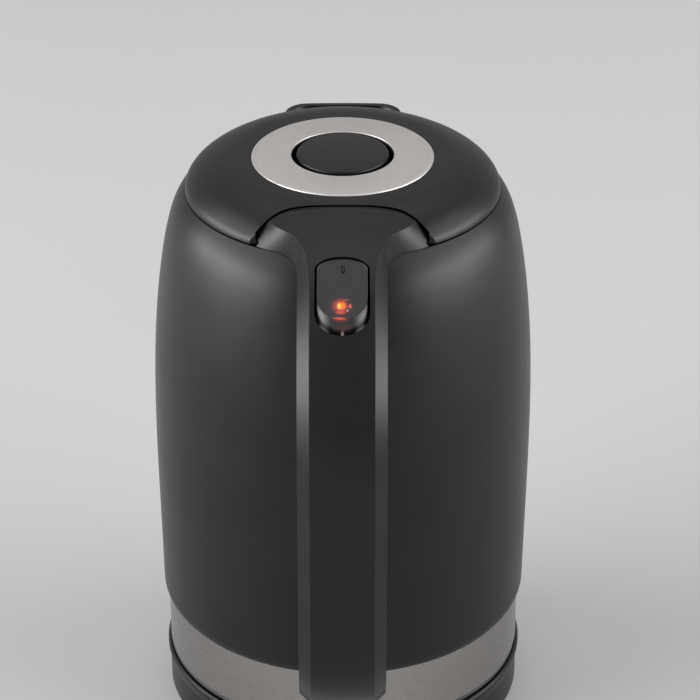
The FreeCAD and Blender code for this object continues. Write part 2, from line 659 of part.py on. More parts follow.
def handle_form(inset):
    """Root and bend as a loft, then the straight grip, the lower bend and the lower arm."""
    top = Part.makeLoft([handle_section(s, inset) for s in top_stations()], True, False)
    start = V(0, HANDLE_FACE_Y, HANDLE_TURN_Z - LOFT_END)
    grip_face = Part.Face(handle_section(grip_station(start, V(0, -1, 0)), inset))
    grip = grip_face.extrude(V(0, 0, LOWER_BEND_Z - start.z))
    turn = V(0, HANDLE_FACE_Y, LOWER_BEND_Z)
    bend_face = Part.Face(handle_section(grip_station(turn, V(0, -1, 0)), inset))
    bend = bend_face.revolve(V(0, HANDLE_FACE_Y + FOOT_BEND, LOWER_BEND_Z), V(1, 0, 0), 90)
    foot = V(0, HANDLE_FACE_Y + FOOT_BEND, HANDLE_FOOT_Z)
    arm_face = Part.Face(handle_section(grip_station(foot, V(0, 0, -1)), inset))
    arm = arm_face.extrude(V(0, -LEDGE_RADIUS - foot.y, 0))
    return fused(Part.makeSolid(top), grip, bend, arm)


def side_arc(centre_y, centre_z, radius, start, end):
    """An arc in side view, between two directions in degrees from +Y towards +Z."""
    points = []
    for angle in (start, (start + end) / 2, end):
        a = math.radians(angle)
        points.append(yz(centre_y + radius * math.cos(a), centre_z + radius * math.sin(a)))
    return Part.Arc(*points).toShape()


def finger_side():
    """Everything on the finger side of the line that parts the two handle mouldings."""
    split_y = HANDLE_FACE_Y + SPLIT_DEPTH
    low_z = HANDLE_FOOT_Z + SPLIT_DEPTH
    low_radius = FOOT_BEND - SPLIT_DEPTH
    top_radius = -BELLY_RADIUS + 4.5 - split_y
    top_z = HANDLE_TURN_Z + top_radius
    inside = -LEDGE_RADIUS
    edges = [side_arc(split_y + top_radius, HANDLE_TURN_Z, top_radius, 90, 180),
             side_arc(split_y + low_radius, low_z + low_radius, low_radius, 180, 270)]
    edges += line(yz(split_y, HANDLE_TURN_Z), yz(split_y, low_z + low_radius))
    edges += line(yz(split_y + low_radius, low_z), yz(inside, low_z), yz(inside, top_z),
                  yz(split_y + top_radius, top_z))
    half = 2 * GRIP_SIDE
    face = face_of(edges)
    face.translate(V(-half, 0, 0))
    return face.extrude(V(2 * half, 0, 0))


def switch_place():
    """Placement that lays a flat rocker, drawn face up with the lid side towards +Y, at its pivot."""
    lean = math.radians(SWITCH_LEAN)
    out = V(0, -math.sin(lean), math.cos(lean))
    face = bend_point(SWITCH_Y)[0] + V(0, 0, FACE_PROUD)
    pivot = face - out * SWITCH_DEPTH
    return FreeCAD.Placement(pivot, FreeCAD.Rotation(V(1, 0, 0), SWITCH_LEAN))


def rocker_form(gap, low, high):
    """The rocker between two heights. Both ends are turned about the pivot, so it swings in a close well."""
    half = ROCKER_HALF + gap
    reach = ROCKER_REACH + gap
    halves = []
    for way, rounding in ((1, FAR_ROUND), (-1, NEAR_ROUND)):
        straight = ROCKER_REACH - rounding
        steps = [math.pi * i / 12 for i in range(13)]
        tip = [V(half * math.cos(t), straight + (rounding + gap) * math.sin(t), 0) for t in steps]
        edges = [spline(tip)] + line(tip[-1], V(-half, 0, 0), V(half, 0, 0), tip[0])
        turned_end = Part.makeSolid(face_of(edges).revolve(V(0, 0, 0), V(1, 0, 0), 360))
        near, far = sorted((0.0, way * (reach + 1.0)))
        halves.append(turned_end.common(block(-half - 1.0, half + 1.0, near, far, low, high)))
    return fused(*halves)


def placed(shape):
    copy = shape.copy()
    copy.Placement = switch_place().multiply(copy.Placement)
    return copy


def handle_hollow():
    return handle_form(0.0).cut(handle_form(HANDLE_WALL)).cut(shell_outside())


HANDLE_SCREWS = ((HANDLE_TURN_Z - 14.0), (HANDLE_FOOT_Z + FOOT_BEND + 12.0))


def handle_pieces():
    walls = handle_hollow()
    inner_side = finger_side()
    ahead = block(-FAR, FAR, HINGE_Y - ROOT_GAP / 4, 0, RIM_TOP_Z - 5.0, FAR).cut(barrel(0.0))
    outer = walls.cut(inner_side).cut(ahead)
    inner = walls.common(inner_side)
    outer = outer.cut(placed(rocker_form(WELL_GAP, -WELL_DEPTH, WELL_HIGH)))
    inside_y = HANDLE_FACE_Y + GRIP_DEPTH
    for z in HANDLE_SCREWS:
        boss = rod_y(3.6, HANDLE_FACE_Y + HANDLE_WALL - 0.5, inside_y - HANDLE_WALL, 0, z)
        boss = boss.cut(rod_y(SCREW_RADIUS + FIT_GAP, HANDLE_FACE_Y + HANDLE_WALL + 2.0, inside_y, 0, z))
        outer = outer.fuse(boss)
        inner = inner.cut(rod_y(SCREW_RADIUS + SCREW_GAP, inside_y - 6.0, inside_y + 6.0, 0, z))
        inner = inner.cut(rod_y(3.0, inside_y - 1.2, inside_y + 6.0, 0, z))
    return outer, inner


def handle_screws():
    inside_y = HANDLE_FACE_Y + GRIP_DEPTH
    screws = []
    for z in HANDLE_SCREWS:
        head = rod_y(2.7, inside_y - 1.2, inside_y - 0.1, 0, z)
        shank = rod_y(SCREW_RADIUS, inside_y - 14.0, inside_y - 1.2, 0, z)
        screws.append(fused(head, shank))
    return group(screws)


# Hinge in the handle's root

DECK_Z = PAN_FLOOR_Z - 3.5
DECK_SKIN = 2.5
DECK_CHORD_Y = HINGE_Y + 10.0
CHEEK_INNER = LUG_OUTER + 1.0
CHEEK_OUTER = CHEEK_INNER + 3.5


def hinge_deck():
    """Bridge across the mouth behind the lid: floor, back wall against the rim, two cheeks for the pin."""
    radius = MOUTH_RADIUS - 0.2
    behind = block(-FAR, FAR, -FAR, DECK_CHORD_Y, 0, FAR)
    floor = rod(radius, DECK_Z, DECK_Z + DECK_SKIN).common(behind)
    wall = ring(radius - DECK_SKIN, radius, DECK_Z, RIM_TOP_Z - 0.5).common(behind)
    back_y = HINGE_Y - 5.0
    outline = ((back_y, DECK_Z + 1.0), (DECK_CHORD_Y, DECK_Z + 1.0), (HINGE_Y + 4.0, HINGE_Z - 1.0),
               (HINGE_Y + 2.6, HINGE_Z + 3.4), (HINGE_Y - 2.6, HINGE_Z + 3.4), (back_y, HINGE_Z - 4.0))
    cheek = plate_x(outline, CHEEK_INNER, CHEEK_OUTER).common(rod(radius, DECK_Z, HINGE_Z + 5.0))
    deck = fused(floor, wall, cheek, mirrored(cheek))
    deck = deck.cut(rod_x(PIN_RADIUS, -FAR, FAR, HINGE_Y, HINGE_Z))
    return deck.cut(rod_y(STEAM_RADIUS, -SEAM_RADIUS, -MOUTH_RADIUS + 8.0, 0, STEAM_Z))


HINGE_WIRE = 0.6        # radius of the spring's wire
HINGE_TURNS = 6.5


def hinge_pin():
    return rod_x(PIN_RADIUS, -CHEEK_OUTER, CHEEK_OUTER, HINGE_Y, HINGE_Z)


def lid_hinge_spring():
    """Torsion spring wound round the pin, with its fixed leg running down to the deck."""
    radius = PIN_RADIUS + 0.4 + HINGE_WIRE
    length = 2 * (LUG_INNER - 1.5 - HINGE_WIRE)
    coil = helix(radius, length, HINGE_TURNS, HINGE_WIRE)
    coil.rotate(V(0, 0, 0), V(0, 0, 1), 90)
    coil.rotate(V(0, 0, 0), V(0, 1, 0), 90)
    coil.translate(V(-length / 2, HINGE_Y, HINGE_Z))
    end = coil.valueAt(coil.LastParameter)
    along = coil.tangentAt(coil.LastParameter)
    drop = (end.z - DECK_Z - DECK_SKIN - 0.1) / -along.z
    return wound([coil, Part.makeLine(end, end + along * drop)], HINGE_WIRE)


# Lid

DOME_FLOOR_Z = RING_TOP_Z - RING_SHEET
COLLAR_Z = RING_TOP_Z - 8.5
COLLAR_RADIUS = RING_INNER + 2.2
LID_PLACES = around(2, PAN_RADIUS - 12.6, 30.0) + around(2, PAN_RADIUS - 12.6, -30.0)
LATCH_LOW_Z = PAN_FLOOR_Z + PAN_WALL + 0.4
LATCH_HIGH_Z = LATCH_LOW_Z + BUTTON_TRAVEL
LATCH_NOSE_Y = MOUTH_RADIUS - 1.2
RAMP_Y = BUTTON_RADIUS + 10.4            # foot of the latch's ramp
LATCH_BACK_Y = RAMP_Y - 8.6


def behind_hinge():
    return block(-FAR, FAR, -FAR, HINGE_Y + ROOT_GAP * 0.75, 0, FAR)


def lid_outer():
    recess = RING_OUTER + 0.15
    under = DOME_FLOOR_Z - LID_WALL
    outer = dome_edge(SEAM_RADIUS, LID_EDGE_Z, CROWN_RADIUS, CROWN_Z)
    inner = dome_edge(SEAM_RADIUS - LID_WALL, LID_EDGE_Z, CROWN_RADIUS - 1.0, under)
    edges = [outer, inner]
    seat = DOME_FLOOR_Z - RING_DROP
    edges += line(rz(CROWN_RADIUS, CROWN_Z), rz(recess, CROWN_Z + 0.1), rz(recess, seat), rz(RING_OUTER, seat),
                  rz(RING_INNER, DOME_FLOOR_Z), rz(RING_INNER, COLLAR_Z), rz(COLLAR_RADIUS, COLLAR_Z),
                  rz(COLLAR_RADIUS, under), rz(CROWN_RADIUS - 1.0, under))
    edges += line(rz(SEAM_RADIUS, LID_EDGE_Z), rz(SEAM_RADIUS - LID_WALL, LID_EDGE_Z))
    dome = turned(edges)
    bosses = [rod(3.4, PAN_FLOOR_Z + PAN_WALL, under + 0.6, x, y) for x, y in LID_PLACES]
    dome = fused(dome, *bosses)
    for x, y in LID_PLACES:
        dome = dome.cut(rod(SCREW_RADIUS + FIT_GAP, PAN_FLOOR_Z, under - 6.0, x, y))
    return dome.cut(barrel(ROOT_GAP)).cut(behind_hinge())


def lid_ring():
    """Pressed ring with a low dome and a rounded outer edge."""
    inner = rz(RING_INNER + 0.3, RING_TOP_Z)
    edge = rz(RING_OUTER - 0.9, RING_TOP_Z - RING_DROP)
    low = rz(RING_OUTER, RING_TOP_Z - RING_DROP - 0.45)
    middle = rz((inner.x + edge.x) / 2, (inner.z + edge.z) / 2 + 0.18)
    outline = [Part.Arc(inner, middle, edge).toShape(),
               Part.Arc(edge, rz(RING_OUTER - 0.25, edge.z - 0.13), low).toShape()]
    outline += line(low, rz(RING_OUTER, DOME_FLOOR_Z - RING_DROP), rz(RING_INNER, DOME_FLOOR_Z),
                    rz(RING_INNER, RING_TOP_Z - 0.3), inner)
    return turned(outline)


def hinge_lug():
    top = HINGE_Z
    low = PAN_FLOOR_Z + 1.0
    arm = plate_x(((HINGE_Y - 1.5, top - 2.0), (HINGE_Y - 1.0, top - 10.0), (HINGE_Y + 4.0, low),
                   (PAN_CHORD_Y + 0.5, low), (PAN_CHORD_Y + 0.5, top - 8.0),
                   (HINGE_Y + 8.0, top - 8.0), (HINGE_Y + 3.8, top - 2.5)), LUG_INNER, LUG_OUTER)
    lug = fused(arm, rod_x(BOSS_RADIUS, LUG_INNER, LUG_OUTER, HINGE_Y, HINGE_Z))
    return lug.cut(rod_x(PIN_RADIUS + FIT_GAP, LUG_INNER - 1, LUG_OUTER + 1, HINGE_Y, HINGE_Z))


def lid_inner():
    """Pan under the dome: floor, wall up to the dome, latch rails, hinge lugs."""
    top_z = LID_EDGE_Z
    inner = PAN_RADIUS - PAN_WALL
    floor_z = PAN_FLOOR_Z + PAN_WALL
    cup = rod(PAN_RADIUS, PAN_FLOOR_Z, top_z).cut(rod(inner, floor_z, top_z))
    ahead = block(-FAR, FAR, PAN_CHORD_Y, FAR, 0, FAR)
    back = block(-FAR, FAR, PAN_CHORD_Y, PAN_CHORD_Y + PAN_WALL, PAN_FLOOR_Z, top_z)
    cup = fused(cup.common(ahead), back.common(rod(PAN_RADIUS, 0, FAR)))
    rail_in = LATCH_HALF + 0.4
    rail = block(rail_in, rail_in + 2.0, LATCH_BACK_Y, inner + 1.0, floor_z - 0.5, LATCH_HIGH_Z)
    lug = hinge_lug()
    spring_post = rod(5.0, floor_z - 0.5, floor_z + 6.0)
    cup = fused(cup, rail, mirrored(rail), lug, mirrored(lug), spring_post)
    cup = cup.cut(block(-LATCH_HALF - 0.4, LATCH_HALF + 0.4, inner - 2.0, PAN_RADIUS + 2.0,
                        LATCH_LOW_Z - 0.3, LATCH_HIGH_Z + 0.4))
    for x, y in LID_PLACES:
        cup = cup.cut(rod(SCREW_RADIUS + SCREW_GAP, PAN_FLOOR_Z - 1, floor_z + 1, x, y))
    return cup


def lid_seal():
    """Soft ring round the pan, with a thin lip towards the mouth."""
    lip = MOUTH_RADIUS - 0.7
    full = turned_points((PAN_RADIUS, SEAM_Z - 4.5), (lip, SEAM_Z - 3.3), (lip, SEAM_Z - 2.5),
                         (PAN_RADIUS, SEAM_Z - 0.9))
    return full.common(block(-FAR, FAR, PAN_CHORD_Y, FAR, 0, FAR))


def lid_screws():
    return group(screw(x, y, PAN_FLOOR_Z, PAN_FLOOR_Z + 14.0, 2.7, SCREW_RADIUS, 1.3) for x, y in LID_PLACES)


FLANGE_TOP_Z = COLLAR_Z - 0.4
FLANGE_Z = FLANGE_TOP_Z - 2.2
WEDGE_GAP = 0.57
SPRING_RADIUS = 6.5
SPRING_WIRE = 0.5       # radius of the wire
SPRING_TURNS = 4.5


def lid_button():
    """Round cap with a captive flange, and the wedge that draws the latch back."""
    edge = rz(BUTTON_RADIUS - 1.0, BUTTON_TOP_Z - 0.45)
    side = rz(BUTTON_RADIUS, BUTTON_TOP_Z - 1.5)
    flange = COLLAR_RADIUS - 0.6
    hollow = BUTTON_RADIUS - 1.8
    roof = BUTTON_TOP_Z - 2.2
    outline = [Part.Arc(rz(0, BUTTON_TOP_Z), rz(9.0, BUTTON_TOP_Z - 0.12), edge).toShape(),
               Part.Arc(edge, rz(BUTTON_RADIUS - 0.25, BUTTON_TOP_Z - 0.8), side).toShape()]
    outline += line(side, rz(BUTTON_RADIUS, FLANGE_TOP_Z), rz(flange, FLANGE_TOP_Z), rz(flange, FLANGE_Z),
                    rz(0, FLANGE_Z), rz(0, FLANGE_Z + 2.0), rz(hollow, FLANGE_Z + 2.0), rz(hollow, roof),
                    rz(0, roof), rz(0, BUTTON_TOP_Z))
    arm_y = BUTTON_RADIUS - 3.2
    foot = LATCH_HIGH_Z
    ramp = RAMP_Y + LATCH_LOW_Z + WEDGE_GAP
    wedge_back = ramp - foot + 3.0
    arm = plate_x(((arm_y, FLANGE_Z), (ramp - FLANGE_Z, FLANGE_Z), (ramp - foot, foot), (wedge_back, foot),
                   (wedge_back, FLANGE_Z + 2.0), (arm_y, FLANGE_Z + 2.0)), -4.0, 4.0)
    return fused(turned(outline), arm)


def button_spring():
    floor_z = PAN_FLOOR_Z + PAN_WALL
    coil = helix(SPRING_RADIUS, FLANGE_Z - floor_z - 2 * SPRING_WIRE, SPRING_TURNS, SPRING_WIRE)
    coil.translate(V(0, 0, floor_z + SPRING_WIRE))
    return wound([coil], SPRING_WIRE)


def lid_latch():
    """Flat bolt with a ramped window, so that the wedge pulls it towards the middle."""
    bolt = block(-LATCH_HALF, LATCH_HALF, LATCH_BACK_Y, LATCH_NOSE_Y, LATCH_LOW_Z, LATCH_HIGH_Z)
    height = LATCH_HIGH_Z - LATCH_LOW_Z
    window = plate_x(((RAMP_Y, LATCH_LOW_Z), (RAMP_Y + 12.0, LATCH_LOW_Z), (RAMP_Y + 12.0, LATCH_HIGH_Z),
                      (RAMP_Y - height, LATCH_HIGH_Z)), -5.0, 5.0)
    return bolt.cut(window)


# Switch works under the rocker

EAR_HALF = 2.6
TRUNNION = 1.5


def switch_paddle():
    face = SWITCH_DEPTH
    skin = rocker_form(0.0, -SKIRT_DROP, face)
    hollow = rocker_form(-ROCKER_WALL, -SKIRT_DROP - 1.0, face - 1.8)
    shell = skin.cut(hollow)
    lug = rod_x(3.0, EAR_HALF + 0.6, EAR_HALF + 2.6, 0, 0)
    web = block(EAR_HALF + 0.6, EAR_HALF + 2.6, -3.0, 3.0, 0, face - 1.0)
    lugs = fused(lug, web)
    shell = fused(shell, lugs, mirrored(lugs))
    return placed(shell.cut(rod_x(TRUNNION + FIT_GAP, -7, 7, 0, 0)))


SWITCH_TOP = -7.3
SWITCH_FLOOR = -17.0


def steam_switch_body():
    case = block(-9.0, 9.0, -11.5, 11.5, SWITCH_FLOOR, SWITCH_TOP)
    post = block(-EAR_HALF, EAR_HALF, -3.2, 3.2, SWITCH_TOP - 1.0, 0)
    ear = fused(post, rod_x(3.2, -EAR_HALF, EAR_HALF, 0, 0))
    flange = block(-13.4, 13.4, -5.0, 5.0, SWITCH_FLOOR, SWITCH_FLOOR + 2.0)
    body = fused(case, ear, flange).cut(rod_x(TRUNNION, -7, 7, 0, 0))
    return placed(body.cut(rod(1.9, SWITCH_TOP - 3.0, SWITCH_TOP, 0, -7.0)))


def switch_axle():
    return placed(rod_x(TRUNNION, -EAR_HALF - 2.8, EAR_HALF + 2.8, 0, 0))


def indicator_lamp():
    lens = fused(rod(1.9, SWITCH_TOP - 3.0, -1.0, 0, -7.0), Part.makeSphere(1.9, V(0, -7.0, -1.0)))
    return placed(lens)


def steam_bimetal():
    disc = rod(6.5, SWITCH_FLOOR - 0.6, SWITCH_FLOOR, 0, 0)
    return placed(disc)


def handle_wiring():
    """Three leads from the bottom control through the lower arm and up the grip to the switch."""
    bend = LOWER_BEND_Z - WIRE_Z
    centre_y = HANDLE_FACE_Y + FOOT_BEND
    grip_y = centre_y - bend
    leads = []
    for x in WIRE_PLACES:
        start = yz(-CONTROL_RADIUS, WIRE_Z)
        path = line(start, yz(centre_y, WIRE_Z)) + [side_arc(centre_y, LOWER_BEND_Z, bend, 270, 180)]
        path += line(yz(grip_y, LOWER_BEND_Z), yz(grip_y, HANDLE_TURN_Z))
        path.append(side_arc(grip_y + WIRE_TOP_BEND, HANDLE_TURN_Z, WIRE_TOP_BEND, 180, WIRE_TOP_ANGLE))
        section = Part.Wire(Part.makeCircle(WIRE_RADIUS, start, V(0, -1, 0)))
        lead = Part.makeSolid(Part.Wire(path).makePipeShell([section], True, False))
        lead.translate(V(x, 0, 0))
        leads.append(lead)
    return group(leads)


PIECES = {
    "base_housing": base_housing, "base_bottom_plate": base_bottom_plate, "base_screws": base_screws,
    "base_connector": base_connector, "base_contacts": base_contacts, "base_cord_gland": base_cord_gland,
    "jug_connector": jug_connector, "jug_contacts": jug_contacts, "steel_band": steel_band,
    "bottom_cover": bottom_cover, "bottom_screws": bottom_screws, "heater_plate": heater_plate,
    "plate_seal": plate_seal, "heat_spreader": heat_spreader, "heating_element": heating_element,
    "dry_boil_control": dry_boil_control, "bimetal_discs": bimetal_discs,
    "control_screws": control_screws, "body_shell": body_shell, "spout": spout,
    "spout_filter_frame": spout_filter_frame, "spout_filter_mesh": spout_filter_mesh,
    "handle_screws": handle_screws, "hinge_deck": hinge_deck, "hinge_pin": hinge_pin,
    "lid_hinge_spring": lid_hinge_spring, "lid_outer": lid_outer, "lid_ring": lid_ring,
    "lid_inner": lid_inner, "lid_seal": lid_seal, "lid_screws": lid_screws, "lid_button": lid_button,
    "button_spring": button_spring, "lid_latch": lid_latch, "switch_paddle": switch_paddle,
    "steam_switch_body": steam_switch_body, "switch_axle": switch_axle, "indicator_lamp": indicator_lamp,
    "steam_bimetal": steam_bimetal, "handle_wiring": handle_wiring,
}

for name, make in PIECES.items():
    save(name, make())

save("base_foot_ring", ring(FOOT_INNER, FOOT_OUTER, 0, FOOT_HEIGHT))
handle_outer, handle_inner = handle_pieces()
save("handle_outer", handle_outer)
save("handle_inner", handle_inner)
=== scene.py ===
# %% [markdown]
# # A cordless jug kettle in satin black
#
# This lesson dresses a finished CAD model of a jug kettle: a black body with a steel band, a round power
# base, a domed lid with a steel ring and a push button, and a lit rocker switch on top of the handle.
# The CAD solids are already the right shape, so most of them stay and get a finish. A few small things are
# modelled here: the rocker with its mark, and the wire cloth of the filter.

import json
import math

import bmesh
import bpy
from mathutils import Matrix, Vector


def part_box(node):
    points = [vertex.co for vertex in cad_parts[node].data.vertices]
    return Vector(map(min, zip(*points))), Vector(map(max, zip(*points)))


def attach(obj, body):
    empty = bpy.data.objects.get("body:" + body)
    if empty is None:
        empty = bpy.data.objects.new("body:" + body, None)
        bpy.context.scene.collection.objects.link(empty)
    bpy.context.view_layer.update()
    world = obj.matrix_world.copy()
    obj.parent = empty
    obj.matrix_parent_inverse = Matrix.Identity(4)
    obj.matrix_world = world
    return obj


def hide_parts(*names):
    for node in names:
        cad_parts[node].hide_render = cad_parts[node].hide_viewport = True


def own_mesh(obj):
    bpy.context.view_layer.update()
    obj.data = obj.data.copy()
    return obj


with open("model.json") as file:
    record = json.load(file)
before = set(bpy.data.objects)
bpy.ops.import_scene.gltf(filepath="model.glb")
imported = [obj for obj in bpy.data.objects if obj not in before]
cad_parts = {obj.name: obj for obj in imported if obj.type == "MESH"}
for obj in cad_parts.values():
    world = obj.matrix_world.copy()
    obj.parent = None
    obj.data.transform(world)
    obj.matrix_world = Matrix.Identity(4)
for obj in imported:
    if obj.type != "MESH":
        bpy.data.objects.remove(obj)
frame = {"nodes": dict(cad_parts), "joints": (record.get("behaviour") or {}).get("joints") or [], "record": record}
nodes = frame["nodes"]
joints = {joint["name"]: joint for joint in frame["joints"]}
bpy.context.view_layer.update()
MM = 0.001
print("pieces loaded:", len(nodes))

# %% [markdown]
# ## Camera
#
# The viewer stands behind the handle and looks down on the lid. A long lens keeps the sides of the body
# nearly parallel. The place, tilt and focal length come from matching the lid's ring, the seam and the
# outline of the body with their sizes on the model.

# %% Camera
CAMERA_PLACE = Vector((2.87, -1113.7, 771.2)) * MM
CAMERA_TILT = math.radians(61.1)
FOCAL_MM = 161.2
SENSOR_MM = 36.0
lens = bpy.data.cameras.new("camera")
lens.lens = FOCAL_MM
lens.sensor_width = SENSOR_MM
lens.clip_start = 0.05
camera = bpy.data.objects.new("camera", lens)
camera.location = CAMERA_PLACE
camera.rotation_euler = (CAMERA_TILT, 0.0, 0.0)
bpy.context.scene.collection.objects.link(camera)
bpy.context.scene.camera = camera
print("camera stands", round(CAMERA_PLACE.length, 2), "m away")

# %% [markdown]
# ## Floor and studio light
#
# The kettle stands on a plain pale floor. Black plastic shows its form only through what it mirrors, so
# two long panels stand at the sides at the height of the shoulders, which mirror them together with the
# edges of the handle. A honeycomb narrows their beam, which keeps the floor before them even. Two larger
# panels hang higher and light the lid and the floor, and a dim one far back lifts the top of the lid. The
# world is pale where the camera, a mirror or clear plastic looks at it, and gives only a little fill light.
# The Standard view shows the tones as they are set, with no film curve over them.

# %% Floor
FLOOR_RADIUS = 2.4
FLOOR_SEGMENTS = 128
floor_mesh = bmesh.new()
bmesh.ops.create_circle(floor_mesh, cap_ends=True, segments=FLOOR_SEGMENTS, radius=FLOOR_RADIUS)
floor_data = bpy.data.meshes.new("floor")
floor_mesh.to_mesh(floor_data)
floor_mesh.free()
floor = bpy.data.objects.new("floor", floor_data)
bpy.context.scene.collection.objects.link(floor)
print("floor", 2 * FLOOR_RADIUS, "m wide")


# %% Soft panels
def soft_panel(name, place, target, width, height, watts, beam=math.pi):
    """A rectangular lamp that faces a target. A honeycomb before it narrows its beam."""
    data = bpy.data.lights.new(name, "AREA")
    data.shape = "RECTANGLE"
    data.size = width
    data.size_y = height
    data.energy = watts
    data.spread = beam
    lamp = bpy.data.objects.new(name, data)
    lamp.location = place
    lamp.rotation_euler = (Vector(target) - Vector(place)).to_track_quat("-Z", "Y").to_euler()
    bpy.context.scene.collection.objects.link(lamp)


UPPER_BODY = (0.0, 0.0, 0.19)
HIGH_OUT, HIGH_FRONT, HIGH_UP = 1.85, 0.4, 1.25
HIGH_SIZE = (2.6, 1.7)
soft_panel("panel_left", (-HIGH_OUT, -HIGH_FRONT, HIGH_UP), UPPER_BODY, *HIGH_SIZE, watts=36.0)
soft_panel("panel_right", (HIGH_OUT, -HIGH_FRONT, HIGH_UP), UPPER_BODY, *HIGH_SIZE, watts=30.0)

SIDE_AIM = (0.0, 0.0, 0.31)
SIDE_OUT, SIDE_FRONT, SIDE_UP = 1.67, 0.42, 0.33
SIDE_SIZE = (2.4, 0.5)
HONEYCOMB = math.radians(96.0)
soft_panel("side_left", (-SIDE_OUT, -SIDE_FRONT, SIDE_UP), SIDE_AIM, *SIDE_SIZE,
           watts=12.5, beam=HONEYCOMB)
soft_panel("side_right", (SIDE_OUT, -SIDE_FRONT, SIDE_UP), SIDE_AIM, *SIDE_SIZE,
           watts=9.0, beam=HONEYCOMB)

FAR_PLACE = (0.0, 0.9, 2.2)
FAR_AIM = (0.0, 0.5, 0.0)
FAR_SIZE = (2.2, 1.4)
soft_panel("panel_top", FAR_PLACE, FAR_AIM, *FAR_SIZE, watts=8.0)

# %% World
FILL_COLOUR = (0.86, 0.88, 0.9, 1.0)
FILL_STRENGTH = 0.36
PALE_COLOUR = (0.46, 0.455, 0.45, 1.0)
world = bpy.data.worlds.new("studio")
bpy.context.scene.world = world
world.use_nodes = True
sky = world.node_tree
sky.nodes.clear()
rays = sky.nodes.new("ShaderNodeLightPath")
seen = rays.outputs["Is Camera Ray"]
for kind in ("Is Glossy Ray", "Is Transmission Ray"):
    either = sky.nodes.new("ShaderNodeMath")
    either.operation = "MAXIMUM"
    sky.links.new(seen, either.inputs[0])
    sky.links.new(rays.outputs[kind], either.inputs[1])
    seen = either.outputs[0]
fill = sky.nodes.new("ShaderNodeBackground")
fill.inputs["Color"].default_value = FILL_COLOUR
fill.inputs["Strength"].default_value = FILL_STRENGTH
pale = sky.nodes.new("ShaderNodeBackground")
pale.inputs["Color"].default_value = PALE_COLOUR
mixed = sky.nodes.new("ShaderNodeMixShader")
sky.links.new(seen, mixed.inputs["Fac"])
sky.links.new(fill.outputs[0], mixed.inputs[1])
sky.links.new(pale.outputs[0], mixed.inputs[2])
sky_out = sky.nodes.new("ShaderNodeOutputWorld")
sky.links.new(mixed.outputs[0], sky_out.inputs["Surface"])
bpy.context.scene.view_settings.view_transform = "Standard"
print("world set")


# %% [markdown]
# ## Finishes
#
# Every finish is a small node tree on a Principled shader. The pattern of a finish is read from Object
# coordinates, which are metres on the model, so a noise scale of 5000 means grains of about 0.2 mm. A few
# helpers keep the trees short: they start a material, add a noise, map it on to a range, blend two colours
# by it and turn it into a bump.

# %% Helpers for materials
def finish(name, colour, roughness, metallic=0.0):
    """A material with a Principled shader, ready for more nodes."""
    material = bpy.data.materials.new(name)
    material.use_nodes = True
    tree = material.node_tree
    shader = tree.nodes["Principled BSDF"]
    shader.inputs["Base Color"].default_value = (*colour, 1.0)
    shader.inputs["Roughness"].default_value = roughness
    shader.inputs["Metallic"].default_value = metallic
    return material, tree, shader


def place_of(tree):
    """Object coordinates."""
    return tree.nodes.new("ShaderNodeTexCoord").outputs["Object"]


def noise(tree, vector, scale, detail=2.0):
    """A noise from 0 to 1, with a scale in waves to the metre."""
    node = tree.nodes.new("ShaderNodeTexNoise")
    node.inputs["Scale"].default_value = scale
    node.inputs["Detail"].default_value = detail
    tree.links.new(vector, node.inputs["Vector"])
    return node.outputs["Fac"]


NOISE_LOW, NOISE_HIGH = 0.3, 0.7


def spread(tree, value, low, high):
    """Maps a noise, whose values mostly lie between the two limits above, on to a range."""
    node = tree.nodes.new("ShaderNodeMapRange")
    node.inputs["From Min"].default_value = NOISE_LOW
    node.inputs["From Max"].default_value = NOISE_HIGH
    node.inputs["To Min"].default_value = low
    node.inputs["To Max"].default_value = high
    tree.links.new(value, node.inputs["Value"])
    return node.outputs["Result"]


def tint(tree, value, dark, light):
    """A colour between two, chosen by a value from 0 to 1."""
    node = tree.nodes.new("ShaderNodeMix")
    node.data_type = "RGBA"
    node.inputs["A"].default_value = (*dark, 1.0)
    node.inputs["B"].default_value = (*light, 1.0)
    tree.links.new(value, node.inputs["Factor"])
    return node.outputs["Result"]


EDGE_SAMPLES = 6


def grain(tree, shader, height, depth, strength=1.0, edge=0.0):
    """Bump from a height pattern, on edges that are softened by a small radius."""
    bump = tree.nodes.new("ShaderNodeBump")
    bump.inputs["Distance"].default_value = depth
    bump.inputs["Strength"].default_value = strength
    tree.links.new(height, bump.inputs["Height"])
    if edge:
        soften = tree.nodes.new("ShaderNodeBevel")
        soften.samples = EDGE_SAMPLES
        soften.inputs["Radius"].default_value = edge
        tree.links.new(soften.outputs["Normal"], bump.inputs["Normal"])
    tree.links.new(bump.outputs["Normal"], shader.inputs["Normal"])


# %% [markdown]
# ### Moulded plastic
#
# The body, lid and handle are satin black mouldings. A spark-eroded mould leaves a fine even grain, which
# blurs what the surface mirrors. Handling polishes it a little in places, so the roughness drifts slowly
# over the surface. The same recipe with other numbers gives the grey and pale mouldings inside.

# %% Moulded plastic
CLOUD_SCALE = 38.0
GRAIN_SCALE = 4000.0
GRAIN_DEPTH = 0.01 * MM
SATIN_GLOSS = 0.32
SOFT_EDGE = 0.4 * MM


